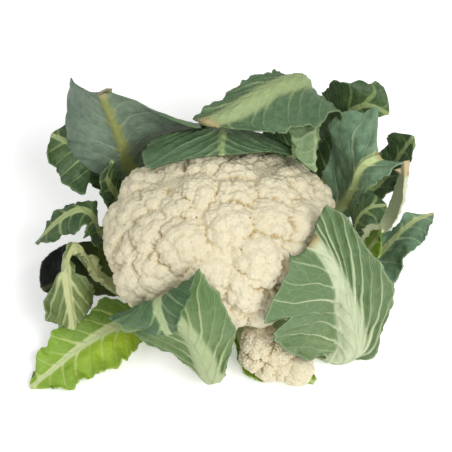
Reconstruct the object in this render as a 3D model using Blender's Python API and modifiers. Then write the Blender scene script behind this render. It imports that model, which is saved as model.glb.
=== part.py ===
"""A cauliflower as it is sold: the curd on its cut stalk, two low side florets, and the trimmed jacket leaves.

It stands on the cut end of the stalk, with the origin at the middle of that cut and the curd upwards.
Lengths are in millimetres up to the point where a mesh is made, which is in metres.
"""

from collections import namedtuple

import bmesh
import bpy
import numpy as np

MM = 0.001

# The curd is a flattened dome. Its lower half is shallower and ends flat on the stalk.
CURD_CENTRE = np.array([1.0, 0.0, 75.0])
CURD_HALF_WIDTH = 90.0
CURD_HALF_DEPTH = 77.0
CURD_RISE = 59.0
CURD_DROP = 46.0
CURD_SQUARENESS = 2.5
CURD_SEAT = 37.0

# Each floret is a ball sunk into the dome, and its buds are smaller balls sunk into it.
FLORET_COUNT = 52
FLORET_RADIUS = 23.0
FLORET_LOWEST = -0.72
FLORET_CROWDING = 1.2
BUDS_PER_FLORET = 28
BUD_RADIUS = 8.6
BUD_SPREAD = 0.95
BUD_PROUD = 2.6
CURD_CORE = 0.84
BRANCH_RIDGES = 13
BRANCH_RIDGE_HEIGHT = 2.2
CURD_FACES = 6000

STALK_RADIUS = 24.0
STALK_TOP_RADIUS = 31.0
STALK_SIDES = 32

# A pair of side florets hangs low between the two front leaves, on a branch of its own.
SIDE_CENTRE = np.array([37.0, -62.5, 27.0])
SIDE_FLORETS = [(-8, -3, 9), (4, -6, 6), (-11, -7, -2), (8, -11, -8), (18, -15, -9), (-2, -12, -8)]
SIDE_RADII = [14.0, 12.5, 12.0, 12.5, 11.5, 11.0]
SIDE_FLORETS = [(-8, -3, 9), (4, -6, 6), (-11, -7, -2), (8, -11, -8), (18, -15, -9), (-2, -12, -8)]
SIDE_RADII = [14.0, 12.5, 12.0, 12.5, 11.5, 11.0]
SIDE_FLORETS = [(-8, -3, 9), (4, -6, 6), (-11, -7, -2), (8, -11, -8), (18, -15, -9), (-2, -12, -8)]
SIDE_RADII = [14.0, 12.5, 12.0, 12.5, 11.5, 11.0]
SIDE_FLORETS = [(-8, -3, 9), (4, -6, 6), (-11, -7, -2), (8, -11, -8), (18, -15, -9), (-2, -12, -8)]
SIDE_RADII = [14.0, 12.5, 12.0, 12.5, 11.5, 11.0]
SIDE_FLORETS = [(-8, -3, 9), (4, -6, 6), (-11, -7, -2), (8, -11, -8), (18, -15, -9), (-2, -12, -8)]
SIDE_RADII = [14.0, 12.5, 12.0, 12.5, 11.5, 11.0]
SIDE_FACES = 800
SIDE_BUD_RADIUS = 6.0
BRANCH_PATH = [(11.5, -30, 23), (18, -38, 23), (26, -47, 23.5)]
BRANCH_RADIUS = 6.0

BLADE = 1.1
FLOOR_GAP = 0.9
TOUCH_GAP = 0.35
LEAF_COLUMNS = (-1.0, -0.72, -0.42, -0.17, 0.0, 0.17, 0.42, 0.72, 1.0)

COLOURS = {
    "curd": (0.86, 0.80, 0.62),
    "stalk": (0.62, 0.68, 0.42),
    "green": (0.10, 0.21, 0.10),
    "dark": (0.035, 0.06, 0.06),
    "grey": (0.19, 0.29, 0.18),
    "lime": (0.32, 0.48, 0.07),
    "pale": (0.50, 0.58, 0.34),
}


def smooth_step(low, high, x):
    t = np.clip((x - low) / (high - low), 0.0, 1.0)
    return t * t * (3.0 - 2.0 * t)


def unit(v):
    return v / np.linalg.norm(v, axis=-1, keepdims=True)


def spiral(count, lowest, crowding=1.0):
    """Unit directions on a golden-angle spiral from straight up to a height of lowest, crowded at the top."""
    i = np.arange(count)
    height = 1.0 - (1.0 - lowest) * ((i + 0.5) / count) ** crowding
    angle = i * np.pi * (3.0 - np.sqrt(5.0))
    ring = np.sqrt(1.0 - height**2)
    return np.stack([ring * np.cos(angle), ring * np.sin(angle), height], axis=-1)


def turned_to(directions, axis):
    """The directions turned so that what pointed straight up points along axis."""
    side = unit(np.cross(axis, [0.31, -0.52, 0.79]))
    return directions @ np.array([side, np.cross(axis, side), axis])


def skin_reach(directions):
    """How far out the dome's skin is in each direction from its centre. From above it is a rounded oblong."""
    x, y, z = np.abs(directions.T)
    oblong = ((x / CURD_HALF_WIDTH) ** CURD_SQUARENESS + (y / CURD_HALF_DEPTH) ** CURD_SQUARENESS)
    rise = np.where(directions[:, 2] < 0, CURD_DROP, CURD_RISE)
    return 1 / np.sqrt(oblong ** (2 / CURD_SQUARENESS) + (z / rise) ** 2)


def skin_normal(directions):
    axes = np.stack([np.full(len(directions), CURD_HALF_WIDTH), np.full(len(directions), CURD_HALF_DEPTH),
                     np.where(directions[:, 2] < 0, CURD_DROP, CURD_RISE)], axis=-1)
    return unit(directions / axes**2)


def furthest_ball(directions, centres, radii):
    """For each direction from the origin, how far out the last of the balls is, or 0 where it meets none."""
    along = directions @ centres.T
    inside = radii**2 - (centres**2).sum(axis=1) + along**2
    reach = np.where(inside > 0, along + np.sqrt(np.maximum(inside, 0)), 0)
    return reach.max(axis=1)


def buds_on(centres, radii, axes, per_ball, bud_radius, spread, proud, draw):
    """Small balls over the outward cap of each big one, standing proud of it."""
    made = []
    sizes = []
    for centre, radius, axis in zip(centres, radii, axes):
        around = turned_to(spiral(per_ball, 1.0 - spread), unit(axis + draw.normal(0, 0.12, 3)))
        size = bud_radius * draw.uniform(0.86, 1.14, per_ball)
        made.append(centre + around * (radius + proud - size)[:, None])
        sizes.append(size)
    return np.concatenate(made), np.concatenate(sizes)


def curd_balls(draw):
    """The florets over the dome, each kept just inside its skin, and their buds."""
    axes = unit(spiral(FLORET_COUNT, FLORET_LOWEST, FLORET_CROWDING) + draw.normal(0, 0.07, (FLORET_COUNT, 3)))
    radii = FLORET_RADIUS * draw.uniform(0.82, 1.12, FLORET_COUNT)
    axes = unit(axes * [CURD_HALF_WIDTH, CURD_HALF_DEPTH, CURD_RISE])
    skin = axes * skin_reach(axes)[:, None]
    depth = BUD_PROUD + draw.uniform(0.0, 5.5, FLORET_COUNT)
    outward = skin_normal(axes)
    centres = skin - outward * (radii + depth)[:, None]
    buds, sizes = buds_on(centres, radii, outward, BUDS_PER_FLORET, BUD_RADIUS, BUD_SPREAD, BUD_PROUD, draw)
    return np.concatenate([centres, buds]), np.concatenate([radii, sizes])


def curd_surface(directions):
    """Points of the curd in each direction from its centre."""
    balls, radii = curd_balls(np.random.default_rng(11))
    angle = np.arctan2(directions[:, 1], directions[:, 0])
    below = smooth_step(-0.1, -0.5, directions[:, 2])
    core = CURD_CORE * skin_reach(directions) + BRANCH_RIDGE_HEIGHT * below * np.cos(BRANCH_RIDGES * angle)
    reach = np.maximum(core, furthest_ball(directions, balls, radii))
    points = CURD_CENTRE + directions * reach[:, None]
    points[:, 2] = np.maximum(points[:, 2], CURD_SEAT)
    return points


def side_floret_balls(draw):
    """Six small florets in a loose clump, with their buds, around the clump's own centre."""
    centres = np.array(SIDE_FLORETS, float)
    radii = np.array(SIDE_RADII)
    buds, sizes = buds_on(centres, radii, unit(centres), 18, SIDE_BUD_RADIUS, 1.3, 1.6, draw)
    return np.concatenate([centres, buds]), np.concatenate([radii, sizes])


def side_floret_surface(directions):
    balls, radii = side_floret_balls(np.random.default_rng(5))
    reach = np.maximum(9.0, furthest_ball(directions, balls, radii))
    points = SIDE_CENTRE + directions * reach[:, None]
    points[:, 2] = np.maximum(points[:, 2], FLOOR_GAP)
    return points


Leaf = namedtuple(
    "Leaf",
    "name colour path root width cup layer grow twist rib rib_half tip_run tip wave rows slant",
    defaults=((0.12, 0.58, 0.66), (0, 0, 0), (7.0, 3.0), (9.7, 2.2), (-0.06, -0.06), (0.45, 0.45), (2.5, 5), 14,
              0.28),
)
# path: the midrib's inner side from the root to the tip, each point x, y, z in millimetres.
# root: half the width at the stalk. width: the left and right blade at their widest, seen from outside.
# cup: degrees that the left and right blade turn towards the head, at the root, the middle and the tip.
# layer: how far the blade keeps off the curd. grow: the shares of the length at which the blade starts
# to widen, is at its widest and starts to narrow. twist: degrees that it turns on its rib, at the same three.
# rib: the rib's thickness at the root and near the tip. rib_half: half its width at the same two. tip_run: how
# far each margin runs past the rib's end, as a share of the length. tip: the share of each side's width left at
# the tip. wave: the margin's ripple and its count. slant: how far the side veins lean towards the tip.

LEAVES = [
    Leaf(
        "leaf_front_left", "grey",
        [(-7, -27, 9), (-8, -56, 8.5), (-7, -79, 13), (-9, -88, 30), (-16, -86, 58), (-27, -75, 82),
         (-38, -66, 95), (-44, -69, 103), (-45, -78, 104), (-41, -87, 96), (-37, -91, 87)],
        root=8.5, width=(47, 34), cup=[(10, 10), (35, 45), (-15, -15)], layer=4, grow=(0.24, 0.58, 0.62),
        rib=(7.5, 1.8), tip=(0.75, 0.4), tip_run=(-0.03, -0.05), wave=(3.5, 4), rows=18,
    ),
    Leaf(
        "leaf_front_right", "grey",
        [(22, -17, 18.5), (49, -39, 12), (79, -60, 12), (95, -66, 26), (94, -59, 48), (86, -49, 74),
         (74, -40, 96), (58, -28, 114)],
        root=8.5, width=(61, 36), cup=[(0, 0), (-35, -15), (-17, -55)], layer=4, grow=(0.22, 0.64, 0.92),
        twist=(0, -62, -47), rib=(8.0, 5.0), rib_half=(10.5, 4.0), tip=(0.8, 0.8), tip_run=(0.10, 0.06),
        wave=(3.0, 4), rows=17, slant=0.3,
    ),
    Leaf(
        "leaf_low_left", "lime",
        [(-20, -20, 8.5), (-48, -30, 9), (-79, -38, 14), (-105, -55, 13), (-126, -73, 9), (-142, -87, 6)],
        root=6.5, width=(22, 31), cup=[(0, 0), (60, 12), (20, 0)], layer=5, grow=(0.12, 0.46, 0.5),
        rib=(6.5, 1.6), tip=(0.25, 0.25), wave=(3.0, 7), slant=0.1,
    ),
    Leaf(
        "leaf_left_low", "dark",
        [(-28, 2, 9), (-62, 4, 9.5), (-94, 2, 14), (-112, -4, 24), (-125, -13, 33), (-133, -22, 40)],
        root=8, width=(31, 16), cup=[(5, 5), (40, 30), (60, 30)], layer=12, grow=(0.2, 0.47, 0.5),
        rib=(6.5, 1.6), tip=(0.6, 0.6), wave=(0.5, 3), slant=0.1,
    ),
    Leaf(
        "leaf_left", "grey",
        [(-27, -7, 18.5), (-60, -12, 20), (-90, -9, 36), (-101, -5, 56), (-104, -5, 69), (-109, -11, 76),
         (-114, -21, 70), (-113, -33, 54), (-111, -43, 40), (-110, -51, 30)],
        root=5.5, width=(24, 27), cup=[(0, 0), (0, 0), (-20, -20)], layer=3, grow=(0.74, 0.92, 0.96),
        rib=(6.0, 1.6), tip=(0.6, 0.6), wave=(4.5, 4), rows=15, slant=0.1,
    ),
    Leaf(
        "leaf_left_drooping", "green",
        [(-28, 1, 27.5), (-60, 8, 32), (-89, 20, 50), (-95, 23, 66), (-99, 23, 76), (-106, 21, 82),
         (-117, 17, 79), (-129, 12, 69), (-140, 8, 57)],
        root=6.5, width=(9, 18), cup=[(0, 0), (0, 0), (0, -30)], layer=2, grow=(0.3, 0.55, 0.62),
        twist=(0, 10, 60), rib=(6.0, 1.4), tip=(0.35, 0.35), wave=(4.0, 4), rows=15, slant=0.1,
    ),
    Leaf(
        "leaf_left_strip", "green",
        [(-24, 15, 27.5), (-49, 34, 31), (-74, 49, 50), (-83, 51, 68), (-86, 50, 84), (-80, 53, 98)],
        root=6.5, width=(12, 13), cup=[(0, 0), (10, 10), (0, 0)], layer=2, rib=(6.0, 1.6), tip=(0.6, 0.6),
        rows=11,
    ),
    Leaf(
        "leaf_upper_left", "green",
        [(-25, 13, 18.5), (-54, 36, 20), (-77, 58, 36), (-86, 68, 58), (-90, 72, 73), (-101, 73, 84),
         (-114, 78, 88), (-130, 88, 86)],
        root=8, width=(28, 30), cup=[(0, 0), (0, 0), (40, 35)], layer=9, grow=(0.42, 0.78, 0.84),
        rib=(6.5, 2.2), wave=(4.0, 4),
    ),
    Leaf(
        "leaf_cut_stem", "grey",
        [(-14, 24, 27.5), (-32, 50, 31), (-58, 66, 50), (-69, 68, 74), (-74, 70, 96), (-81, 78, 117),
         (-88, 88, 136)],
        root=6.5, width=(68, 35), cup=[(0, 0), (20, -10), (45, -40)], layer=13, grow=(0.46, 0.72, 0.95),
        twist=(0, -20, -75), rib=(8.0, 7.0), rib_half=(9.0, 4.0), tip=(0.9, 0.9), tip_run=(-0.2, 0.05),
        wave=(4.0, 3), rows=16, slant=0,
    ),
    Leaf(
        "leaf_back", "pale",
        [(5, 28, 9), (16, 60, 11), (34, 94, 30), (49, 112, 62), (58, 116, 94), (60, 109, 122), (44, 94, 136),
         (20, 75, 140), (-12, 51, 136)],
        root=8.5, width=(33, 24), cup=[(0, 0), (20, 20), (12, 20)], layer=20, rib=(7.5, 4.5),
        rib_half=(9.7, 6.0), tip=(0.7, 0.7), tip_run=(-0.1, 0.0),
    ),
    Leaf(
        "leaf_back_inner", "green",
        [(0, 28, 27.5), (0, 56, 32), (2, 78, 56), (3, 82, 82), (3, 77, 103), (2, 61, 118.5), (0, 46, 126),
         (0, 32, 130)],
        root=6.5, width=(48, 54), cup=[(0, 0), (35, 35), (25, 25)], layer=1.5, grow=(0.3, 0.75, 0.85),
        rib=(6.0, 1.6), tip=(0.8, 0.8), wave=(1.2, 5),
    ),
    Leaf(
        "leaf_over_curd", "grey",
        [(14, 24, 27.5), (32, 52, 32), (50, 80, 56), (60, 92, 86), (64, 92, 104), (66, 80, 117),
         (67, 56, 119), (65, 30, 112)],
        root=6.5, width=(9, 34), cup=[(0, 0), (20, 20), (35, 20)], layer=2, rib=(6.0, 1.6), tip=(0.5, 0.5),
        wave=(3.0, 3),
    ),
    Leaf(
        "leaf_back_right", "green",
        [(20, 19, 9), (46, 46, 11), (76, 78, 26), (90, 98, 54), (94, 103, 82), (100, 103, 98),
         (112, 100, 106), (126, 95, 102)],
        root=8.5, width=(16, 30), cup=[(0, 0), (10, 10), (-25, -25)], layer=24, rib=(7.0, 1.6), wave=(5.0, 4),
    ),
    Leaf(
        "leaf_right_upper", "green",
        [(24, 14, 27.5), (52, 28, 31), (86, 40, 50), (98, 44, 78), (101, 45, 96), (106, 47, 105),
         (116, 50, 109)],
        root=6.5, width=(20, 44), cup=[(0, 0), (20, 20), (10, 10)], layer=3, grow=(0.4, 0.75, 0.8),
        rib=(6.5, 6.0), tip=(0.8, 0.8), tip_run=(0.1, 0.1), wave=(4.0, 4), slant=0.1,
    ),
    Leaf(
        "leaf_right_ruffled", "green",
        [(28, 0, 27.5), (58, 0, 31), (88, 0, 54), (96, 2, 78), (99, 6, 91), (107, 9, 101), (120, 11, 102)],
        root=6.5, width=(17, 17), cup=[(0, 0), (0, 0), (-30, 0)], layer=2, grow=(0.5, 0.8, 0.85),
        rib=(6.0, 1.6), tip=(0.8, 0.8), wave=(3.0, 5),
    ),
    Leaf(
        "leaf_far_right", "green",
        [(18, 22, 18.5), (52, 45, 20), (92, 60, 32), (118, 66, 50), (129, 70, 68), (136, 73, 84),
         (143, 76, 99)],
        root=7, width=(17, 17), cup=[(0, 0), (20, 20), (10, 10)], layer=12, grow=(0.4, 0.8, 0.85),
        rib=(6.5, 1.6), tip=(0.7, 0.7), rows=11,
    ),
    Leaf(
        "leaf_right_stub", "pale",
        [(26, 10, 18.5), (62, 22, 20), (100, 33, 26), (124, 39, 40), (132, 43, 60), (134, 49, 80),
         (135, 56, 95)],
        root=5.5, width=(8, 8), cup=[(0, 0), (0, 0), (0, 0)], layer=12, rib=(6.5, 5.0), rib_half=(9.0, 4.5),
        tip=(0.4, 0.4), wave=(0.0, 3), rows=11,
    ),
    Leaf(
        "leaf_right_low", "grey",
        [(28, 1, 9), (64, 3, 10), (98, 6, 18), (119, 13, 35), (131, 20, 48), (145, 29, 56), (160, 36, 57)],
        root=8.5, width=(26, 10), cup=[(0, 0), (20, 20), (-40, -10)], layer=18, rib=(7.0, 1.6),
        tip=(0.4, 0.4), wave=(4.0, 4), slant=0.1,
    ),
    Leaf(
        "leaf_right_frill", "lime",
        [(27.7, -4, 18.5), (62, -4, 21), (97, 0, 38), (112, 6, 58), (118, 10, 72)],
        root=3.5, width=(12, 12), cup=[(0, 0), (0, 0), (-20, -20)], layer=9, grow=(0.5, 0.85, 0.9),
        rib=(4.0, 1.6), wave=(1.0, 5), rows=10,
    ),
    Leaf(
        "leaf_front_small", "lime",
        [(9, -26.5, 7), (16, -48, 5), (24, -66, 3.5), (34, -80, 4)],
        root=4.5, width=(9, 9), cup=[(0, 0), (5, 5), (10, 10)], layer=9, rib=(4.0, 1.2), wave=(0.5, 3),
        rows=9,
    ),
    Leaf(
        "leaf_front_small_right", "lime",
        [(19, -21, 7), (38, -44, 4.5), (56, -66, 3.5), (68, -82, 4)],
        root=4.5, width=(9, 9), cup=[(0, 0), (5, 5), (10, 10)], layer=9, rib=(4.0, 1.2), wave=(0.5, 3),
        rows=9,
    ),
]

SPINE_STEPS = 160


def spine_of(leaf):
    """The midrib as closely spaced points, with its direction, its outer side and its right at each."""
    knots = np.array(leaf.path, float)
    ends = np.concatenate([[2 * knots[0] - knots[1]], knots, [2 * knots[-1] - knots[-2]]])
    points = []
    for a, b, c, d in zip(ends, ends[1:], ends[2:], ends[3:]):
        t = np.linspace(0, 1, 24, endpoint=False)[:, None]
        bend = 2 * a - 5 * b + 4 * c - d
        swing = 3 * b - a - 3 * c + d
        points.append(0.5 * (2 * b + (c - a) * t + bend * t**2 + swing * t**3))
    points = np.concatenate([*points, knots[-1:]])
    run = np.concatenate([[0], np.cumsum(np.linalg.norm(np.diff(points, axis=0), axis=1))])
    share = np.linspace(0, 1, SPINE_STEPS)
    points = np.stack([np.interp(share, run / run[-1], points[:, k]) for k in range(3)], axis=-1)
    along = unit(np.gradient(points, axis=0))
    outer = np.empty_like(along)
    side = np.array([0.0, 0.0, -1.0])
    for i, direction in enumerate(along):
        side = unit(side - direction * (side @ direction))
        outer[i] = side
    right = np.cross(along, outer)
    turn = np.radians(np.interp(share, [0, 0.5, 1], leaf.twist))[:, None]
    turned = outer * np.cos(turn) + right * np.sin(turn)
    return points, along, turned, np.cross(along, turned), run[-1]


def at(share, values):
    """Values along the spine read at any share of its length, carried on straight past the ends."""
    inside = np.clip(share, 0, 1)
    steps = np.linspace(0, 1, len(values))
    return np.stack([np.interp(inside, steps, values[:, k]) for k in range(values.shape[1])], axis=-1)


def stand_clear(points, layer):
    """Points nearer the curd than their layer, or in the floor, are pressed out to it with a soft bend."""
    away = points - CURD_CENTRE
    distance = np.linalg.norm(away, axis=1)
    skin = skin_reach(away / distance[:, None])
    softness = 2.5
    gap = layer + softness * np.logaddexp(0, (distance - skin - layer) / softness)
    points = CURD_CENTRE + away * ((skin + gap) / distance)[:, None]
    points[:, 2] = FLOOR_GAP + np.logaddexp(0, points[:, 2] - FLOOR_GAP)
    return points


def half_width(leaf, share, side):
    full = np.where(side > 0, leaf.width[1], leaf.width[0])
    start, widest, end = leaf.grow
    grown = leaf.root + (full - leaf.root) * smooth_step(start, widest, share)
    rounding = np.clip((share - end) / (1 - end), 0, 1) ** 2
    tip = np.where(side > 0, leaf.tip[1], leaf.tip[0])
    return grown * np.sqrt(1 - (1 - tip**2) * rounding)


def leaf_surface(leaf, row, column):
    """The inner face. row runs from 0 at the root to 1 at the tip, and column from -1 to 1 across the blade."""
    points, along, outer, right, length = spine_of(leaf)
    edge = np.abs(column)
    side = np.sign(column)
    tip_run = np.where(side > 0, leaf.tip_run[1], leaf.tip_run[0])
    share = row + edge**1.5 * (leaf.slant * row * (1 - row) + tip_run * row**3)
    beyond = np.maximum(share - 1, 0) * length
    reach = edge * half_width(leaf, row, side)
    cups = np.radians(np.array(leaf.cup, float))
    cup = at(share, cups)
    turn = np.where(side > 0, cup[:, 1], cup[:, 0]) * edge
    turn = np.where(np.abs(turn) < 1e-4, 1e-4, turn)
    across = reach * np.sin(turn) / turn
    inward = reach * (1 - np.cos(turn)) / turn
    height, count = leaf.wave
    phase = 1.7 * side + 0.37 * sum(leaf.path[-1])
    ripple = height * edge**2 * smooth_step(0.2, 0.5, row) * np.sin(2 * np.pi * count * row + phase)
    spot = at(share, points) + at(share, along) * beyond[:, None]
    spot += at(share, right) * (side * across)[:, None]
    spot += at(share, outer) * (ripple - inward)[:, None]
    return stand_clear(spot, leaf.layer)


def leaf_thickness(leaf, row, column):
    """The blade's thickness, with the rib standing out of its middle."""
    from_rib = np.abs(column) * half_width(leaf, row, np.sign(column))
    rib_width = leaf.rib_half[1] + (leaf.rib_half[0] - leaf.rib_half[1]) * (1 - smooth_step(0.0, 0.9, row))
    rib = leaf.rib[0] + (leaf.rib[1] - leaf.rib[0]) * row
    return BLADE + np.maximum(rib - BLADE, 0) * np.exp(-((from_rib / rib_width) ** 2))


def collection(name):
    made = bpy.data.collections.new(name)
    bpy.context.scene.collection.children.link(made)
    return made


def material(name, colour, roughness=0.55):
    made = bpy.data.materials.new(name)
    made.use_nodes = True
    shader = made.node_tree.nodes["Principled BSDF"]
    shader.inputs["Base Color"].default_value = (*colour, 1.0)
    shader.inputs["Roughness"].default_value = roughness
    shader.inputs["Metallic"].default_value = 0.0
    return made


def new_object(name, mesh_maker, finish, group):
    """An object whose mesh is what is left in the mesh maker, in metres."""
    mesh = bpy.data.meshes.new(name)
    mesh_maker.to_mesh(mesh)
    mesh_maker.free()
    mesh.materials.append(finish)
    mesh.shade_smooth()
    made = bpy.data.objects.new(name, mesh)
    group.objects.link(made)
    return made


def place(mesh_maker, points):
    for vertex, point in zip(mesh_maker.verts, points):
        vertex.co = point * MM


def directions_of(mesh_maker):
    return unit(np.array([vertex.co[:] for vertex in mesh_maker.verts]))


def make_lumpy_head(name, surface, subdivisions, faces, finish, group):
    """A ball pressed out to a surface of florets, with its faces kept where the relief needs them."""
    ball = bmesh.new()
    bmesh.ops.create_icosphere(ball, subdivisions=subdivisions, radius=1.0)
    place(ball, surface(directions_of(ball)))
    full = len(ball.faces)
    made = new_object(name, ball, finish, group)
    thin = made.modifiers.new("keep_relief", "DECIMATE")
    thin.ratio = faces / full
    return made


def make_stalk(finish, group):
    """The stump: slightly five-sided, flaring where the branches start, and cut flat below."""
    body = bmesh.new()
    bmesh.ops.create_cone(
        body, cap_ends=True, segments=STALK_SIDES, radius1=1.0, radius2=1.0, depth=2.0,
    )
    cuts = [edge for edge in body.edges if abs(edge.verts[0].co.z - edge.verts[1].co.z) > 1.0]
    bmesh.ops.subdivide_edges(body, edges=cuts, cuts=4)
    top = CURD_SEAT - TOUCH_GAP
    for vertex in body.verts:
        x, y, z = vertex.co
        height = (z + 1) / 2
        angle = np.arctan2(y, x)
        radius = STALK_RADIUS + (STALK_TOP_RADIUS - STALK_RADIUS) * height**3
        radius *= 1 + 0.015 * np.cos(5 * angle + 2 * height)
        vertex.co = np.array([radius * np.cos(angle), radius * np.sin(angle), top * height]) * MM
    return new_object("stalk", body, finish, group)


def make_branch(finish, group):
    """The short branch that carries the side florets."""
    line = bpy.data.curves.new("side_floret_branch", "CURVE")
    line.dimensions = "3D"
    spline = line.splines.new("POLY")
    spline.points.add(len(BRANCH_PATH) - 1)
    for point, spot in zip(spline.points, BRANCH_PATH):
        point.co = (*(np.array(spot) * MM), 1.0)
    line.bevel_depth = BRANCH_RADIUS * MM
    line.bevel_resolution = 2
    line.use_fill_caps = True
    line.materials.append(finish)
    made = bpy.data.objects.new("side_floret_branch", line)
    group.objects.link(made)
    return made


def make_leaf(leaf, finish, group):
    """A grid bent into the leaf's inner face, split into triangles, then given its thickness outwards."""
    columns = np.array(LEAF_COLUMNS)
    sheet = bmesh.new()
    bmesh.ops.create_grid(sheet, x_segments=len(columns) - 1, y_segments=leaf.rows - 1, size=1.0)
    flat = np.array([vertex.co[:2] for vertex in sheet.verts])
    column = columns[np.rint((flat[:, 0] + 1) / 2 * (len(columns) - 1)).astype(int)]
    row = (flat[:, 1] + 1) / 2
    place(sheet, leaf_surface(leaf, row, column))
    bmesh.ops.triangulate(sheet, faces=sheet.faces)
    made = new_object(leaf.name, sheet, finish, group)
    thickness = leaf_thickness(leaf, row, column)
    thickest = thickness.max()
    weights = made.vertex_groups.new(name="thickness")
    for index, value in enumerate(thickness):
        weights.add([index], float(value / thickest), "REPLACE")
    wall = made.modifiers.new("thickness", "SOLIDIFY")
    wall.thickness = thickest * MM
    wall.offset = 1.0
    wall.vertex_group = "thickness"
    return made


def main():
    for old in list(bpy.data.objects):
        bpy.data.objects.remove(old)
    group = collection("cauliflower")
    finishes = {name: material(name, colour) for name, colour in COLOURS.items()}
    make_stalk(finishes["stalk"], group)
    make_lumpy_head("curd", curd_surface, 6, CURD_FACES, finishes["curd"], group)
    make_lumpy_head("side_florets", side_floret_surface, 4, SIDE_FACES, finishes["curd"], group)
    make_branch(finishes["stalk"], group)
    for leaf in LEAVES:
        make_leaf(leaf, finishes[leaf.colour], group)


main()
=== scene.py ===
from collections import namedtuple

import bpy
import numpy as np
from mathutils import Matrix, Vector, noise


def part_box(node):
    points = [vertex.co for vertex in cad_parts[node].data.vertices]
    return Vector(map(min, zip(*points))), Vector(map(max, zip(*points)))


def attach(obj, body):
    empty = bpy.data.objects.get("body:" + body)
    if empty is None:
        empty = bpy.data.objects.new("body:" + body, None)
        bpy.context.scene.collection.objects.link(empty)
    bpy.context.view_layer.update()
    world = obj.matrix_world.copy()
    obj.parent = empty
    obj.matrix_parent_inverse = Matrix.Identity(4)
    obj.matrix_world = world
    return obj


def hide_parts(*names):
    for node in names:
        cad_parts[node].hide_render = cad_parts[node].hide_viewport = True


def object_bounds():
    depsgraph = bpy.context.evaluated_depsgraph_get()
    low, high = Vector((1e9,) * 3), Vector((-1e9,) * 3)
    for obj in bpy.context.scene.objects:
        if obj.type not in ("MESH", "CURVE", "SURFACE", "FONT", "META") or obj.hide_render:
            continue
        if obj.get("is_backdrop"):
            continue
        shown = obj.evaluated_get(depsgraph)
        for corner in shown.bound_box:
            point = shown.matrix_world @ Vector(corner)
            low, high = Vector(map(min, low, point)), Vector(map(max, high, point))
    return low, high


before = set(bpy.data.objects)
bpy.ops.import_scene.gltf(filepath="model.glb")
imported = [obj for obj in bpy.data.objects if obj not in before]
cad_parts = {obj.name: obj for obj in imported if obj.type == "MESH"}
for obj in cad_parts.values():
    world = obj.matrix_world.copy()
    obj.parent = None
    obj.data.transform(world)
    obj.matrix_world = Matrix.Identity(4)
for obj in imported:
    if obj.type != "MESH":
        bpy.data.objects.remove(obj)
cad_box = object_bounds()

bpy.ops.object.select_all(action="DESELECT")


# The stump
# The stalk that the whole head grew on, sawn off square in the field. It is solid, fibrous and slightly
# five-sided, with the scars of the first leaves round it. Sizes here and below are in millimetres.

MM = 0.001
STALK_SIDES = 96
STALK_CUTS = 30
STALK_RADIUS = 24.0
STALK_TOP_RADIUS = 31.0
STALK_SIDEDNESS = 0.015
SCAR_HEIGHT = 0.6
SCAR_TURNS = 2.4
CUT_FACE_RINGS = (0.06, 0.10, 0.10)
FIBRE_WIDTH = 1.11
FIBRE_STRETCH = 0.12
BLOTCH_SIZE = 14.3


def linear_colour(text):
    """An sRGB hex colour as linear red, green, blue and alpha."""
    srgb = np.array([int(text[i:i + 2], 16) / 255 for i in (1, 3, 5)])
    linear = np.where(srgb <= 0.04045, srgb / 12.92, ((srgb + 0.055) / 1.055) ** 2.4)
    return (*linear, 1.0)


def add_node(tree, kind, inputs=None, **settings):
    """A shader node with its settings, and each input set to a value or linked to a socket."""
    node = tree.nodes.new("ShaderNode" + kind)
    for name, value in settings.items():
        setattr(node, name, value)
    for name, value in (inputs or {}).items():
        if isinstance(value, bpy.types.NodeSocket):
            tree.links.new(value, node.inputs[name])
        else:
            node.inputs[name].default_value = value
    return node


def new_material(name, roughness, ior, subsurface=0.0):
    """A Principled material, its node tree and its shader."""
    made = bpy.data.materials.new(name)
    made.use_nodes = True
    shader = made.node_tree.nodes["Principled BSDF"]
    shader.inputs["Roughness"].default_value = roughness
    shader.inputs["IOR"].default_value = ior
    shader.inputs["Subsurface Weight"].default_value = subsurface
    return made, made.node_tree, shader


def places_of(piece):
    """Where each vertex is."""
    places = np.empty(len(piece.data.vertices) * 3)
    piece.data.vertices.foreach_get("co", places)
    return places.reshape(-1, 3)


def set_places(piece, places):
    piece.data.vertices.foreach_set("co", places.ravel())
    piece.data.update()


def set_attribute(piece, name, values):
    """A number for each vertex, which a material can read."""
    made = piece.data.attributes.new(name, "FLOAT", "POINT")
    made.data.foreach_set("value", values.astype(np.float32))


def finish_piece(piece, name, node, slot, *materials):
    """The piece named, smooth and coloured, riding on the root body in place of its CAD node."""
    piece.name = name
    piece.data.name = name
    for material in materials:
        piece.data.materials.append(material)
    piece.data.shade_smooth()
    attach(piece, "root")
    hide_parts(node)


def apply_modifiers(piece):
    bpy.context.view_layer.objects.active = piece
    for modifier in list(piece.modifiers):
        bpy.ops.object.modifier_apply(modifier=modifier.name)


# Brassica stalk: a matt waxy rind, pale green, with fine fibres running up it.
stalk_rind, tree, shader = new_material("brassica_stalk_rind", roughness=0.5, ior=1.42)
place = add_node(tree, "TexCoord")
stretch = add_node(tree, "Mapping", {"Vector": place.outputs["Object"], "Scale": (1, 1, FIBRE_STRETCH)})
fibres = add_node(
    tree, "TexNoise", {"Vector": stretch.outputs["Vector"], "Scale": 1 / (FIBRE_WIDTH * MM), "Detail": 3.0}
)
blotches = add_node(
    tree, "TexNoise", {"Vector": place.outputs["Object"], "Scale": 1 / (BLOTCH_SIZE * MM), "Detail": 3.0}
)
rind = add_node(
    tree, "Mix",
    {"Factor": blotches.outputs["Fac"], "A": linear_colour("#A9B77C"), "B": linear_colour("#C7CB9B")},
    data_type="RGBA",
)
tree.links.new(rind.outputs["Result"], shader.inputs["Base Color"])
ridges = add_node(tree, "Bump", {"Height": fibres.outputs["Fac"], "Strength": 0.35, "Distance": 0.4 * MM})
tree.links.new(ridges.outputs["Normal"], shader.inputs["Normal"])

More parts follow.
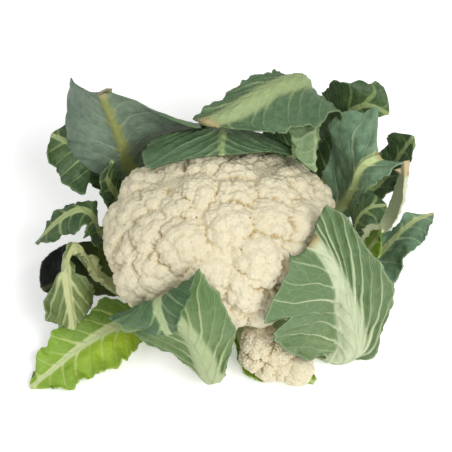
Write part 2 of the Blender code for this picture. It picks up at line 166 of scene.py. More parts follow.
stalk_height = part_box("stalk")[1].z
bpy.ops.mesh.primitive_cylinder_add(vertices=STALK_SIDES, radius=1.0, depth=2.0)
stalk = bpy.context.object
bpy.ops.object.mode_set(mode="EDIT")
bpy.ops.mesh.select_mode(type="EDGE")
bpy.ops.mesh.select_all(action="DESELECT")
bpy.ops.object.mode_set(mode="OBJECT")
for edge in stalk.data.edges:
    bottom, top = [stalk.data.vertices[i].co.z for i in edge.vertices]
    edge.select = abs(bottom - top) > 1.0
bpy.ops.object.mode_set(mode="EDIT")
bpy.ops.mesh.subdivide(number_cuts=STALK_CUTS)
bpy.ops.mesh.select_mode(type="FACE")
bpy.ops.mesh.select_all(action="DESELECT")
bpy.ops.object.mode_set(mode="OBJECT")
for face in stalk.data.polygons:
    face.select = face.normal.z < -0.9
bpy.ops.object.mode_set(mode="EDIT")
for ring in CUT_FACE_RINGS:
    bpy.ops.mesh.inset(thickness=ring)
bpy.ops.object.mode_set(mode="OBJECT")

spots = places_of(stalk)
height = (spots[:, 2] + 1) / 2
angle = np.arctan2(spots[:, 1], spots[:, 0])
share = np.hypot(spots[:, 0], spots[:, 1])
radius = STALK_RADIUS + (STALK_TOP_RADIUS - STALK_RADIUS) * height**3
radius *= 1 + STALK_SIDEDNESS * np.cos(5 * angle + 2 * height)
scar = np.cos(5 * angle - 2 * np.pi * SCAR_TURNS * height)
radius += SCAR_HEIGHT * np.clip(scar - 0.6, 0, 1) * np.where(height < 0.98, 1, 0)
spots[:, 0] = share * radius * np.cos(angle) * MM
spots[:, 1] = share * radius * np.sin(angle) * MM
spots[:, 2] = height * stalk_height
set_places(stalk, spots)
finish_piece(stalk, "cut_stalk", "stalk", "stalk", stalk_rind)


# The curd
# The white head: a dome of tightly packed flower branches, each ending in buds on buds in spirals, down to
# grains of about a millimetre. It is soft, waxy and slightly clear. Its colour is painted darker and yellower
# down in the clefts and along the seams between florets: painted shade.

CURD_CENTRE = np.array([1.0, 0.0, 75.0])
CURD_HALF_WIDTH = 90.0
CURD_HALF_DEPTH = 77.0
CURD_RISE = 59.0
CURD_DROP = 46.0
CURD_SQUARENESS = 2.5
CURD_SEAT = 37.0
FLORET_COUNT = 52
FLORET_RADIUS = 23.0
FLORET_LOWEST = -0.72
FLORET_CROWDING = 1.2
FLORET_UNEVENNESS = 5.5
BUDS_PER_FLORET = 28
BUD_RADIUS = 8.6
BUD_SPREAD = 0.95
BUD_PROUD = 2.6
CURD_CORE = 0.84
BRANCH_RIDGES = 13
BRANCH_RIDGE_HEIGHT = 2.2
KNOBS_PER_BUD = 28
KNOB_SHARE = 0.29
KNOB_PROUD = 0.9
CREASE_WIDTH = 0.8
CREASE_DEPTH = 0.5
SEAM_WIDTH = 1.3
SEAM_DEPTH = 3.0
SEAM_PATCH = 12.0
CURD_TRIANGLES = 185_000
CLOUD_SIZE = 26.3
SPECK_SPACING = 16.1
GRAIN_SIZE = 1.79
RAYS_AT_ONCE = 4000


def smooth_step(low, high, x):
    """A soft rise from 0 at low to 1 at high, or a fall where low is above high."""
    t = np.clip((x - low) / (high - low), 0.0, 1.0)
    return t * t * (3.0 - 2.0 * t)


def unit(v):
    return v / np.linalg.norm(v, axis=-1, keepdims=True)


def spiral(count, lowest, crowding=1.0):
    """Unit directions on a golden-angle spiral from straight up to a height of lowest, crowded at the top."""
    i = np.arange(count)
    height = 1.0 - (1.0 - lowest) * ((i + 0.5) / count) ** crowding
    angle = i * np.pi * (3.0 - np.sqrt(5.0))
    ring = np.sqrt(1.0 - height**2)
    return np.stack([ring * np.cos(angle), ring * np.sin(angle), height], axis=-1)


def turned_to(directions, axis):
    """The directions turned so that what pointed straight up points along axis."""
    side = unit(np.cross(axis, [0.31, -0.52, 0.79]))
    return directions @ np.array([side, np.cross(axis, side), axis])


def skin_reach(directions):
    """How far out the dome's skin is in each direction from its centre. From above it is a rounded oblong."""
    x, y, z = np.abs(directions.T)
    oblong = (x / CURD_HALF_WIDTH) ** CURD_SQUARENESS + (y / CURD_HALF_DEPTH) ** CURD_SQUARENESS
    rise = np.where(directions[:, 2] < 0, CURD_DROP, CURD_RISE)
    return 1 / np.sqrt(oblong ** (2 / CURD_SQUARENESS) + (z / rise) ** 2)


def skin_normal(directions):
    """About which way the dome's skin faces in each direction."""
    width = np.full(len(directions), CURD_HALF_WIDTH)
    depth = np.full(len(directions), CURD_HALF_DEPTH)
    rise = np.where(directions[:, 2] < 0, CURD_DROP, CURD_RISE)
    return unit(directions / np.stack([width, depth, rise], axis=-1) ** 2)


def buds_on(centres, radii, axes, per_ball, bud_radius, spread, proud, draw):
    """Small balls over the outward cap of each big one, standing proud of it, and their sizes."""
    made = []
    sizes = []
    for centre, radius, axis in zip(centres, radii, axes):
        around = turned_to(spiral(per_ball, 1.0 - spread), unit(axis + draw.normal(0, 0.12, 3)))
        size = bud_radius * draw.uniform(0.86, 1.14, per_ball)
        made.append(centre + around * (radius + proud - size)[:, None])
        sizes.append(size)
    return np.array(made), np.array(sizes)


def knobs_on(buds, sizes, axes, draw):
    """The knobs over each bud's outward cap, in a spiral of their own, and their sizes."""
    made = []
    radii = []
    for bud, size, axis in zip(buds, sizes, axes):
        around = turned_to(spiral(KNOBS_PER_BUD, 0.05), unit(axis + draw.normal(0, 0.15, 3)))
        knob = KNOB_SHARE * size * draw.uniform(0.8, 1.2, KNOBS_PER_BUD)
        made.append(bud + around * (size + KNOB_PROUD - knob)[:, None])
        radii.append(knob)
    return np.concatenate(made), np.concatenate(radii)


def reach_of_balls(directions, centres, radii, bud_count):
    """How far out a floret reaches in each direction, or 0 where it is missed, with creases between its buds.

    The balls are the floret's own, then its buds, then the knobs of each bud.
    """
    reach = np.zeros(len(directions))
    for start in range(0, len(directions), RAYS_AT_ONCE):
        rays = directions[start:start + RAYS_AT_ONCE]
        along = rays @ centres.T
        inside = radii**2 - (centres**2).sum(axis=1) + along**2
        met = np.where(inside > 0, along + np.sqrt(np.maximum(inside, 0)), 0)
        knobs = met[:, bud_count + 1:].reshape(len(rays), bud_count, -1).max(axis=2)
        second, first = np.partition(np.maximum(met[:, 1:bud_count + 1], knobs), -2, axis=1)[:, -2:].T
        crease = CREASE_DEPTH * np.exp(-(((first - second) / CREASE_WIDTH) ** 2))
        reach[start:start + RAYS_AT_ONCE] = np.maximum(met[:, 0], first - crease)
    return reach


def floret_reach(directions, floret_centres, floret_radii, buds, sizes, draw):
    """How far out the florets with their buds and knobs reach, and by how much the first leads the second."""
    first = np.zeros(len(directions))
    second = np.zeros(len(directions))
    for centre, radius, its_buds, its_sizes in zip(floret_centres, floret_radii, buds, sizes):
        knobs, knob_radii = knobs_on(its_buds, its_sizes, unit(its_buds - centre), draw)
        balls = np.concatenate([[centre], its_buds, knobs])
        ball_radii = np.concatenate([[radius], its_sizes, knob_radii])
        distance = np.linalg.norm(balls, axis=1)
        half_angles = np.arcsin(ball_radii / np.maximum(distance, ball_radii))
        toward = unit(centre)
        spread = (np.arccos(np.clip(unit(balls) @ toward, -1, 1)) + half_angles).max()
        widest = np.pi / 2 if distance[0] <= radius else min(spread, np.pi)
        shown = directions @ toward > np.cos(widest)
        own = reach_of_balls(directions[shown], balls, ball_radii, len(its_buds))
        second[shown] = np.maximum(second[shown], np.minimum(first[shown], own))
        first[shown] = np.maximum(first[shown], own)
    return first, first - second


def seams(spots, lead):
    """How deep the seam between two florets is at each spot, from 0 to 1. It comes and goes along its way."""
    strength = [noise.noise(Vector(spot) / SEAM_PATCH) for spot in spots]
    return np.exp(-((lead / SEAM_WIDTH) ** 2)) * np.clip(0.55 + 1.1 * np.array(strength), 0.1, 1.0)


def hollowness(piece):
    """How far each vertex lies below its neighbours, in their own mean distance, smoothed once."""
    mesh = piece.data
    spots = places_of(piece)
    normals = np.empty(len(mesh.vertices) * 3)
    mesh.vertex_normals.foreach_get("vector", normals)
    normals = normals.reshape(-1, 3)
    ends = np.empty(len(mesh.edges) * 2, int)
    mesh.edges.foreach_get("vertices", ends)
    first, second = ends.reshape(-1, 2).T
    step = spots[second] - spots[first]
    length = np.linalg.norm(step, axis=1)
    count = np.bincount(first, minlength=len(spots)) + np.bincount(second, minlength=len(spots))
    rise = np.bincount(first, (step * normals[first]).sum(axis=1) / length, len(spots))
    rise += np.bincount(second, -(step * normals[second]).sum(axis=1) / length, len(spots))
    rise /= np.maximum(count, 1)
    around = np.bincount(first, rise[second], len(spots)) + np.bincount(second, rise[first], len(spots))
    return 0.5 * rise + 0.5 * around / np.maximum(count, 1)


# Curd: living flower buds packed tight. It is creamy white, matt with a waxy softness that lets light in a
# little, with a few tiny brown specks where it was knocked. It is painted darker and yellower in the clefts
# and seams as painted shade.
curd_flesh, tree, shader = new_material("cauliflower_curd", roughness=0.62, ior=1.38, subsurface=0.12)
shader.inputs["Subsurface Radius"].default_value = (1.0, 0.75, 0.4)
shader.inputs["Subsurface Scale"].default_value = 2.2 * MM
place = add_node(tree, "TexCoord")
clouds = add_node(
    tree, "TexNoise", {"Vector": place.outputs["Object"], "Scale": 1 / (CLOUD_SIZE * MM), "Detail": 3.0}
)
cream = add_node(
    tree, "Mix",
    {"Factor": clouds.outputs["Fac"], "A": linear_colour("#D6CCAB"), "B": linear_colour("#E2DABF")},
    data_type="RGBA",
)
# Painted shade: the colour turns darker and yellower where the skin lies below its neighbours.
cleft = add_node(tree, "Attribute", attribute_name="cleft")
sunk = add_node(
    tree, "MapRange", {"Value": cleft.outputs["Fac"], "From Min": 0.05, "From Max": 0.38, "To Max": 0.85},
    interpolation_type="SMOOTHSTEP",
)
painted_cleft_shade = add_node(
    tree, "Mix",
    {"Factor": sunk.outputs["Result"], "A": cream.outputs["Result"], "B": linear_colour("#BFA56A")},
    data_type="RGBA",
)
# Painted shade: the colour turns darker and browner along the seams between florets.
seam_here = add_node(tree, "Attribute", attribute_name="seam")
between = add_node(tree, "MapRange", {"Value": seam_here.outputs["Fac"], "From Min": 0.2, "To Max": 0.75})
painted_seam_shade = add_node(
    tree, "Mix",
    {"Factor": between.outputs["Result"], "A": painted_cleft_shade.outputs["Result"], "B": linear_colour("#AD9050")},
    data_type="RGBA",
)
specks = add_node(tree, "TexVoronoi", {"Vector": place.outputs["Object"], "Scale": 1 / (SPECK_SPACING * MM)})
speck = add_node(
    tree, "MapRange",
    {"Value": specks.outputs["Distance"], "From Min": 0.07, "From Max": 0.04, "To Max": 0.85},
    interpolation_type="SMOOTHSTEP",
)
flesh = add_node(
    tree, "Mix",
    {"Factor": speck.outputs["Result"], "A": painted_seam_shade.outputs["Result"], "B": linear_colour("#8A6236")},
    data_type="RGBA",
)
tree.links.new(flesh.outputs["Result"], shader.inputs["Base Color"])
grains = add_node(
    tree, "TexVoronoi",
    {"Vector": place.outputs["Object"], "Scale": 1 / (GRAIN_SIZE * MM), "Smoothness": 0.3},
    feature="SMOOTH_F1",
)
grain_relief = add_node(
    tree, "Bump", {"Height": grains.outputs["Distance"], "Strength": 0.6, "Distance": 0.8 * MM}, invert=True
)
tree.links.new(grain_relief.outputs["Normal"], shader.inputs["Normal"])

draw = np.random.default_rng(11)
axes = unit(spiral(FLORET_COUNT, FLORET_LOWEST, FLORET_CROWDING) + draw.normal(0, 0.07, (FLORET_COUNT, 3)))
floret_radii = FLORET_RADIUS * draw.uniform(0.88, 1.08, FLORET_COUNT)
axes = unit(axes * [CURD_HALF_WIDTH, CURD_HALF_DEPTH, CURD_RISE])
skin = axes * skin_reach(axes)[:, None]
depth = BUD_PROUD + draw.uniform(0.0, FLORET_UNEVENNESS, FLORET_COUNT)
outward = skin_normal(axes)
floret_centres = skin - outward * (floret_radii + depth)[:, None]
buds, sizes = buds_on(
    floret_centres, floret_radii, outward, BUDS_PER_FLORET, BUD_RADIUS, BUD_SPREAD, BUD_PROUD, draw
)

bpy.ops.mesh.primitive_ico_sphere_add(subdivisions=7, radius=1.0)
curd = bpy.context.object
rays = unit(places_of(curd))
below = smooth_step(-0.1, -0.5, rays[:, 2])
around = np.arctan2(rays[:, 1], rays[:, 0])
core = CURD_CORE * skin_reach(rays) + BRANCH_RIDGE_HEIGHT * below * np.cos(BRANCH_RIDGES * around)
florets, lead = floret_reach(rays, floret_centres, floret_radii, buds, sizes, draw)
seam = seams(rays * florets[:, None], lead)
reach = np.maximum(core, florets - SEAM_DEPTH * seam)
spots = CURD_CENTRE + rays * reach[:, None]
spots[:, 2] = np.maximum(spots[:, 2], CURD_SEAT)
set_places(curd, spots * MM)
set_attribute(curd, "seam", seam)
thin = curd.modifiers.new("keep_relief", "DECIMATE")
thin.ratio = CURD_TRIANGLES / len(curd.data.polygons)
apply_modifiers(curd)
set_attribute(curd, "cleft", hollowness(curd))
finish_piece(curd, "white_curd", "curd", "curd", curd_flesh)


# The side florets
# A few small florets that grew low in the gap between the two front leaves, on a short branch of their own
# from the stump. They are the same flesh as the head.

SIDE_CENTRE = np.array([37.0, -62.5, 27.0])
SIDE_BUDS_PER_FLORET = 18
SIDE_BUD_RADIUS = 6.0
SIDE_BUD_SPREAD = 1.3
SIDE_BUD_PROUD = 1.6
SIDE_CORE = 9.0
SIDE_FLORETS = [(-8, -3, 9), (4, -6, 6), (-11, -7, -2), (8, -11, -8), (18, -15, -9), (-2, -12, -8)]
SIDE_RADII = [14.0, 12.5, 12.0, 12.5, 11.5, 11.0]
SIDE_TRIANGLES = 60_000
FLOOR_GAP = 0.9

draw = np.random.default_rng(5)
floret_centres = np.array(SIDE_FLORETS, float)
floret_radii = np.array(SIDE_RADII)
buds, sizes = buds_on(
    floret_centres, floret_radii, unit(floret_centres), SIDE_BUDS_PER_FLORET, SIDE_BUD_RADIUS,
    SIDE_BUD_SPREAD, SIDE_BUD_PROUD, draw,
)
bpy.ops.mesh.primitive_ico_sphere_add(subdivisions=7, radius=1.0)
side_florets = bpy.context.object
rays = unit(places_of(side_florets))
florets, lead = floret_reach(rays, floret_centres, floret_radii, buds, sizes, draw)
seam = seams(rays * florets[:, None], lead)
reach = np.maximum(SIDE_CORE, florets - SEAM_DEPTH * seam)
spots = SIDE_CENTRE + rays * reach[:, None]
spots[:, 2] = np.maximum(spots[:, 2], FLOOR_GAP)
set_places(side_florets, spots * MM)
set_attribute(side_florets, "seam", seam)
thin = side_florets.modifiers.new("keep_relief", "DECIMATE")
thin.ratio = SIDE_TRIANGLES / len(side_florets.data.polygons)
apply_modifiers(side_florets)
set_attribute(side_florets, "cleft", hollowness(side_florets))
finish_piece(side_florets, "low_side_florets", "side_florets", "curd", curd_flesh)

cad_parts["side_floret_branch"].data.materials.clear()
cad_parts["side_floret_branch"].data.materials.append(stalk_rind)


# The front leaves
# The two largest jacket leaves, which wrap the front. Each is a thin waxy blade on a thick pale midrib, with
# side veins that leave the rib at a low angle and bend outwards, and each was cut or torn off short.

LEAF_ROWS = 104
LEAF_COLUMNS = 60
BLADE = 1.0
SPINE_STEPS = 160
STEPS_PER_KNOT = 24
CLEARING_SOFTNESS = 2.5
MARGIN_LOBE = 20
MARGIN_TOOTH = 9
MARGIN_NICK = 3.5
FRILL_LENGTH = 11
FRILL_FOLD = 5
RUMPLE_SIZE = 19
RUMPLE_HEIGHT = 1.6
RUMPLE_FOLD = 9
RUMPLE_CREASE = 4
SIDES_APART = 40
VEIN_BEND = 22
VEIN_SLOPE = 0.25
VEIN_DRIFT = 19
VEIN_WOBBLE = 6
VEIN_WIDTH = 0.34
VEIN_FOOT_WIDTH = 1.1
VEIN_THINNING = 14
VEIN_RIDGE = 0.3
VEIN_FOOT_RIDGE = 1.0
VEIN_SINKING = 16
CUT_RIB = 3.5

Leaf = namedtuple(
    "Leaf",
    "name path root width cup layer grow twist rib rib_half tip_run tip wave slant skins band veins pucker "
    "ragged lean notches inner_rib",
    defaults=((0.12, 0.58, 0.66), (0, 0, 0), (7.0, 3.0), (9.7, 2.2), (-0.06, -0.06), (0.45, 0.45), (2.5, 5),
              0.28, None, (9.0, 2.0), 13.0, 1.4, 1.2, (0.9, 0.9), (), 0.0),
)
# A leaf's lengths are in millimetres, its shares are of its own length, and its left and right are as seen
# from outside the head.
# path: the midrib's inner side from the root to the tip, each point x, y, z.
# root: half the width at the stalk. width: the left and right blade at their widest.
# cup: degrees that the left and right blade turn towards the head, at the root, the middle and the tip.
# layer: how far the blade keeps off the curd.
# grow: the shares at which the blade starts to widen, reaches its full width and starts to narrow.
# twist: degrees that the blade turns on its rib, at the root, the middle and the tip.
# rib: the rib's thickness at the root and the tip. rib_half: half its width there.
# tip_run: how far the left and right margins run past the rib's end, as a share.
# tip: the share of each side's width that is left at the tip. wave: the margin's ripple and its count.
# slant: how far the rows lean towards the tip. skins: the finish inside and outside.
# band: half the pale band's width at the root and the tip. veins: the distance between side veins.
# pucker: how far the blade sinks between them. ragged: how uneven the margin is.
# lean: how steeply the left and right veins leave the rib.
# notches: tears in the margin, each a side, its share, its depth as a share of the width, and its length.
# inner_rib: how far the rib stands proud of the inner face.


def spine_of(leaf):
    """The midrib as closely spaced points, with its direction, its outer side and its right at each."""
    knots = np.array(leaf.path, float)
    ends = np.concatenate([[2 * knots[0] - knots[1]], knots, [2 * knots[-1] - knots[-2]]])
    points = []
    for a, b, c, d in zip(ends, ends[1:], ends[2:], ends[3:]):
        t = np.linspace(0, 1, STEPS_PER_KNOT, endpoint=False)[:, None]
        bend = (2 * a - 5 * b + 4 * c - d) * t**2 + (3 * b - a - 3 * c + d) * t**3
        points.append(0.5 * (2 * b + (c - a) * t + bend))
    points = np.concatenate([*points, knots[-1:]])
    run = np.concatenate([[0], np.cumsum(np.linalg.norm(np.diff(points, axis=0), axis=1))])
    share = np.linspace(0, 1, SPINE_STEPS)
    points = np.stack([np.interp(share, run / run[-1], points[:, k]) for k in range(3)], axis=-1)
    along = unit(np.gradient(points, axis=0))
    outer = np.empty_like(along)
    side = np.array([0.0, 0.0, -1.0])
    for i, direction in enumerate(along):
        side = unit(side - direction * (side @ direction))
        outer[i] = side
    right = np.cross(along, outer)
    turn = np.radians(np.interp(share, [0, 0.5, 1], leaf.twist))[:, None]
    turned = outer * np.cos(turn) + right * np.sin(turn)
    return points, along, turned, np.cross(along, turned), run[-1]


def at(share, values):
    """Values along the spine read at any share of its length."""
    inside = np.clip(share, 0, 1)
    steps = np.linspace(0, 1, len(values))
    return np.stack([np.interp(inside, steps, values[:, k]) for k in range(values.shape[1])], axis=-1)


def stand_clear(points, layer):
    """Points nearer the curd than their layer, or in the floor, are pressed out to it with a soft bend."""
    away = points - CURD_CENTRE
    distance = np.linalg.norm(away, axis=1)
    skin = skin_reach(away / distance[:, None])
    spare = (distance - skin - layer) / CLEARING_SOFTNESS
    gap = layer + CLEARING_SOFTNESS * np.logaddexp(0, spare)
    points = CURD_CENTRE + away * ((skin + gap) / distance)[:, None]
    points[:, 2] = FLOOR_GAP + np.logaddexp(0, points[:, 2] - FLOOR_GAP)
    return points


def half_width(leaf, share, side):
    """How wide the blade is on a side of the rib, at any share of its length."""
    full = np.where(side > 0, leaf.width[1], leaf.width[0])
    start, widest, end = leaf.grow
    grown = leaf.root + (full - leaf.root) * smooth_step(start, widest, share)
    rounding = np.clip((share - end) / (1 - end), 0, 1) ** 2
    tip = np.where(side > 0, leaf.tip[1], leaf.tip[0])
    return grown * np.sqrt(1 - (1 - tip**2) * rounding)


def wander(x, y, size, seed):
    """Smooth noise from -1 to 1 at places x, y in millimetres, with features of about the given size."""
    return np.array([noise.noise(Vector((a / size, b / size, 7.3 * seed))) for a, b in zip(x, y)])


def reach_of_rows(leaf, row, run, edge, full, side, seed):
    """How far out from the rib each place is, with the lobes, teeth, nicks and tears of the margin."""
    apart = SIDES_APART * side
    uneven = wander(run, apart, MARGIN_LOBE, seed + 1) + wander(run, apart, MARGIN_TOOTH, seed)
    uneven += 0.6 * wander(run, apart, MARGIN_NICK, seed + 3)
    reach = edge * full + leaf.ragged * edge**4 * uneven * smooth_step(0.1, 0.35, row)
    for torn_side, torn_row, torn_depth, torn_width in leaf.notches:
        torn = np.exp(-(((row - torn_row) / torn_width) ** 2)) * (side == torn_side)
        reach *= 1 - torn_depth * edge * torn
    return reach


def veins_on(leaf, run, reach, side, seed):
    """A count that is whole on each side vein, with the nearest vein's distance, vigour and width."""
    across = side * reach
    lean = np.where(side > 0, leaf.lean[1], leaf.lean[0])
    bent = np.exp(-reach / VEIN_BEND)
    count = run / leaf.veins - 0.5 * (side > 0)
    count -= lean * (VEIN_BEND * (1 - bent) + VEIN_SLOPE * reach) / leaf.veins
    count += 0.26 * wander(across, run, VEIN_DRIFT, seed + 5)
    count += 0.07 * wander(across, run, VEIN_WOBBLE, seed + 7)
    distance = np.abs(count - np.rint(count)) * leaf.veins
    vigour = 0.55 + 0.45 * np.cos((np.rint(count) * 3.7 + side) * 12.9898 + seed)
    width = (VEIN_WIDTH + VEIN_FOOT_WIDTH * np.exp(-reach / VEIN_THINNING)) * (0.65 + 0.5 * vigour)
    width *= np.sqrt(1 + (lean * (bent + VEIN_SLOPE)) ** 2)
    return count, distance, vigour, width


def thicken(piece, thickness, skins):
    """The flat blade given its thickness outwards. The first material goes to the face that moved out."""
    inside, outside = skins
    piece.data.materials.append(outside)
    piece.data.materials.append(inside)
    thickest = thickness.max()
    weights = piece.vertex_groups.new(name="thickness")
    for index, value in enumerate(thickness):
        weights.add([index], float(value / thickest), "REPLACE")
    wall = piece.modifiers.new("thickness", "SOLIDIFY")
    wall.thickness = thickest * MM
    wall.offset = 1.0
    wall.vertex_group = "thickness"
    wall.material_offset = 1
    wall.material_offset_rim = 1
    apply_modifiers(piece)
    piece.vertex_groups.clear()


def grow_leaf(leaf):
    """A leaf from a flat grid: bent along its rib, cupped, waved and puckered, then given its thickness."""
    bpy.ops.mesh.primitive_grid_add(x_subdivisions=LEAF_COLUMNS, y_subdivisions=LEAF_ROWS, size=2)
    piece = bpy.context.object
    flat = places_of(piece)
    row = (flat[:, 1] + 1) / 2
    edge = np.abs(flat[:, 0])
    side = np.sign(flat[:, 0])
    seed = sum(leaf.path[-1])

    # Where each place lies along the rib and across the blade.
    points, along, outer, right, length = spine_of(leaf)
    tip_run = np.where(side > 0, leaf.tip_run[1], leaf.tip_run[0])
    share = row + edge**1.5 * (leaf.slant * row * (1 - row) + tip_run * row**3)
    beyond = np.maximum(share - 1, 0) * length
    run = row * length
    full = half_width(leaf, row, side)
    reach = reach_of_rows(leaf, row, run, edge, full, side, seed)
    across = side * reach

    # How far the blade sinks between its veins and rises or falls in its rumples.
    vein_run, from_vein, vigour, vein_width = veins_on(leaf, run, reach, side, seed)
    blade_share = smooth_step(0.15, 0.4, row)
    sunk = leaf.pucker * np.sin(np.pi * np.clip(from_vein * 2 / leaf.veins, 0, 1) / 2) * blade_share
    sunk *= smooth_step(4, 12, reach) * (1 - 0.4 * edge)
    rumple = RUMPLE_HEIGHT * wander(across, run, RUMPLE_SIZE, seed + 8)
    rumple += wander(across, run, RUMPLE_FOLD, seed + 9)
    rumple += 0.4 * wander(across, run, RUMPLE_CREASE, seed + 11)
    sunk += rumple * blade_share * smooth_step(3, 12, reach)

    # The blade's ripple and frill towards the margin, and its cup as an arc out from the rib.
    cup = at(share, np.radians(np.array(leaf.cup, float)))
    turn = np.where(side > 0, cup[:, 1], cup[:, 0]) * edge
    turn = np.where(np.abs(turn) < 1e-4, 1e-4, turn)
    height, count = leaf.wave
    phase = 1.7 * side + 0.37 * seed
    ripple = height * edge**2 * smooth_step(0.2, 0.5, row) * np.sin(2 * np.pi * count * row + phase)
    frill = wander(run, 30 * side, FRILL_LENGTH, seed + 2)
    frill += 0.5 * wander(run, 30 * side, FRILL_FOLD, seed + 4)
    ripple += 1.3 * height * edge**3 * blade_share * frill
    rib_width = leaf.rib_half[1] + (leaf.rib_half[0] - leaf.rib_half[1]) * (1 - smooth_step(0.0, 0.9, row))
    inner_rise = leaf.inner_rib * np.exp(-((reach / (0.8 * rib_width)) ** 2)) * smooth_step(0.3, 0.5, row)
    spot = at(share, points) + at(share, along) * beyond[:, None]
    spot += at(share, right) * (side * reach * np.sin(turn) / turn)[:, None]
    spot += at(share, outer) * (ripple - sunk - inner_rise - reach * (1 - np.cos(turn)) / turn)[:, None]
    set_places(piece, stand_clear(spot, leaf.layer) * MM)

    # The rib and the veins as thickness on the outer side.
    rib = leaf.rib[0] + (leaf.rib[1] - leaf.rib[0]) * row
    thickness = BLADE + inner_rise + np.maximum(rib - BLADE, 0) * np.exp(-((edge * full / rib_width) ** 3))
    ridge = VEIN_RIDGE + VEIN_FOOT_RIDGE * np.exp(-reach / VEIN_SINKING)
    thickness += ridge * np.exp(-((from_vein / vein_width) ** 2)) * blade_share

    # What the leaf's skins read.
    band = leaf.band[1] + (leaf.band[0] - leaf.band[1]) * (1 - row) ** 1.3
    frayed = band * (0.85 + 0.55 * np.exp(-((from_vein / 1.5) ** 2)) * vigour)
    set_attribute(piece, "across", across * MM)
    set_attribute(piece, "vein_run", vein_run)
    set_attribute(piece, "vein_width", vein_width / leaf.veins)
    set_attribute(piece, "rib_band", smooth_step(1.15, 0.75, reach / frayed))
    set_attribute(piece, "vein_vigour", (0.35 + 0.65 * vigour) * (1 - 0.55 * edge**2))
    set_attribute(piece, "cut_end", smooth_step(0.97, 1.0, row) * (leaf.rib[1] > CUT_RIB))
    set_attribute(piece, "margin", edge)
    set_attribute(piece, "along", row)
    thicken(piece, thickness, leaf.skins)
    slot = "leaf_lime" if "lime" in leaf.skins[0].name else "leaf"
    finish_piece(piece, leaf.name.replace("leaf", "jacket_leaf"), leaf.name, slot)


LEAF_CLOUD_SIZE = 29.4
CRINKLE_SIZE = 5.88
NET_CELL = 7.14
NET_CELLS_PER_VEIN = 3.2
NET_STRENGTH = 0.11
GROOVE_WIDTH = 1.11
GROOVES_ALONG = 0.8
RELIEF_HEIGHT = 0.9


